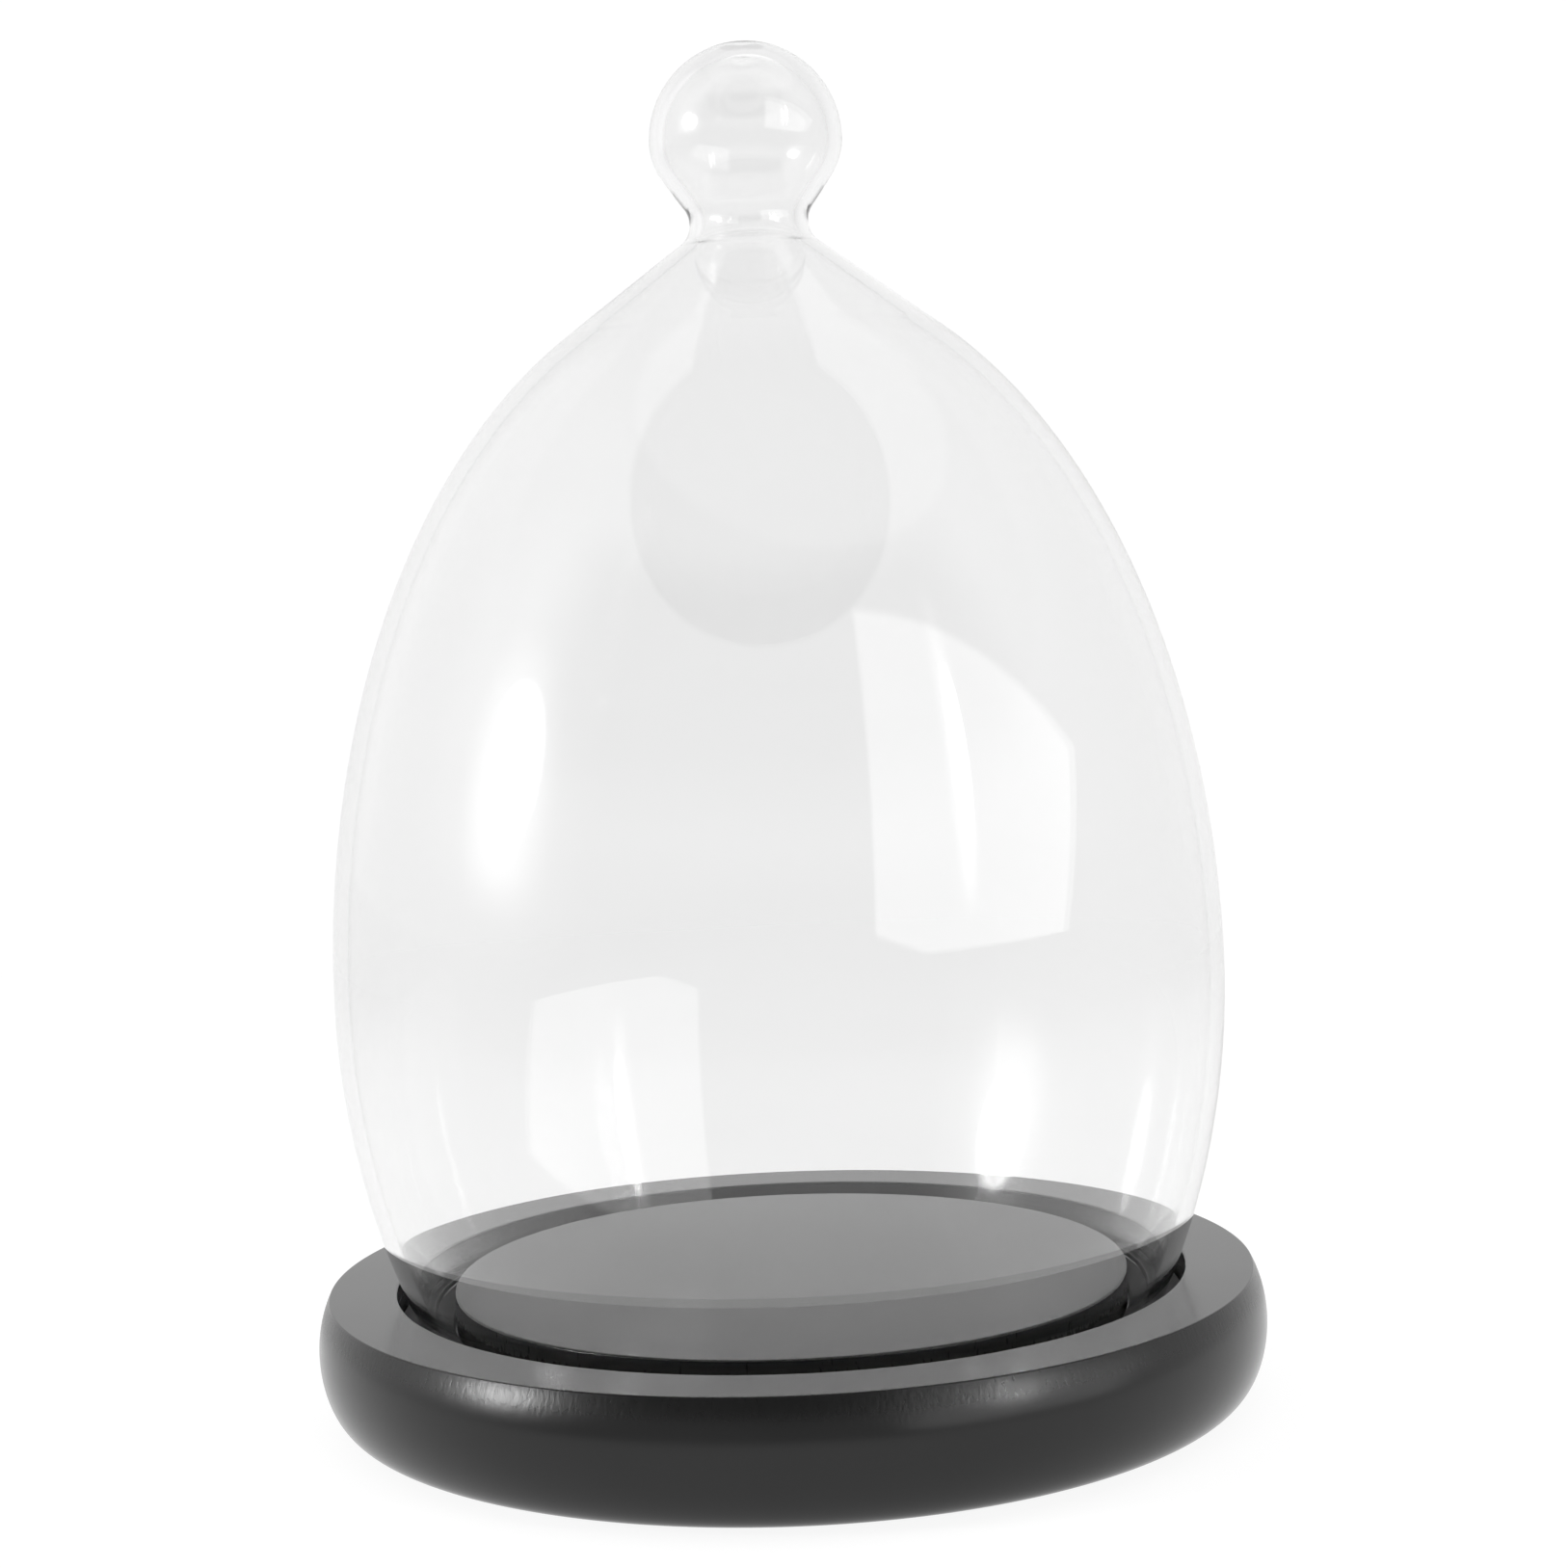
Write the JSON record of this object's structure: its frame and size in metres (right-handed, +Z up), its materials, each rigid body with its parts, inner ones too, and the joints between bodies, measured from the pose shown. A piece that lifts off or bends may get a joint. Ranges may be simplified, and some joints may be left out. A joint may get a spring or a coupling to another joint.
{
  "type": "glass bell jar on a turned base",
  "caption": "Blown-glass bell jar with a hollow ball knob, lifting off the ring groove of a round satin-black turned base.",
  "frame": {"origin": "on the table, under the centre of the round base, at the level of the foot pads' undersides", "axes": "+Z up along the jar's and the base's axis of revolution; +X to the right and +Y away from a viewer in front"},
  "size_m": [0.16, 0.16, 0.2281],
  "materials": {
    "clear_glass": "polished",
    "black_felt": "matte",
    "black_lacquer": "satin",
    "grey_felt": "matte"
  },
  "bodies": {
    "base": {"base_board": "black_lacquer", "foot_pad_1": "grey_felt", "foot_pad_2": "grey_felt", "foot_pad_3": "grey_felt", "foot_pad_4": "grey_felt"},
    "seat": {"seat_ring": "black_felt"},
    "dome": {"glass_dome": "clear_glass"}
  },
  "joints": [
    {"name": "dome_turn", "type": "hinge", "parent": "base", "child": "seat", "pos_m": [0, 0, 0.0155], "axis": [0, 0, 1], "continuous": true},
    {"name": "dome_lift", "type": "slide", "parent": "seat", "child": "dome", "axis": [0, 0, 1], "range_m": [0, 0.2]}
  ]
}
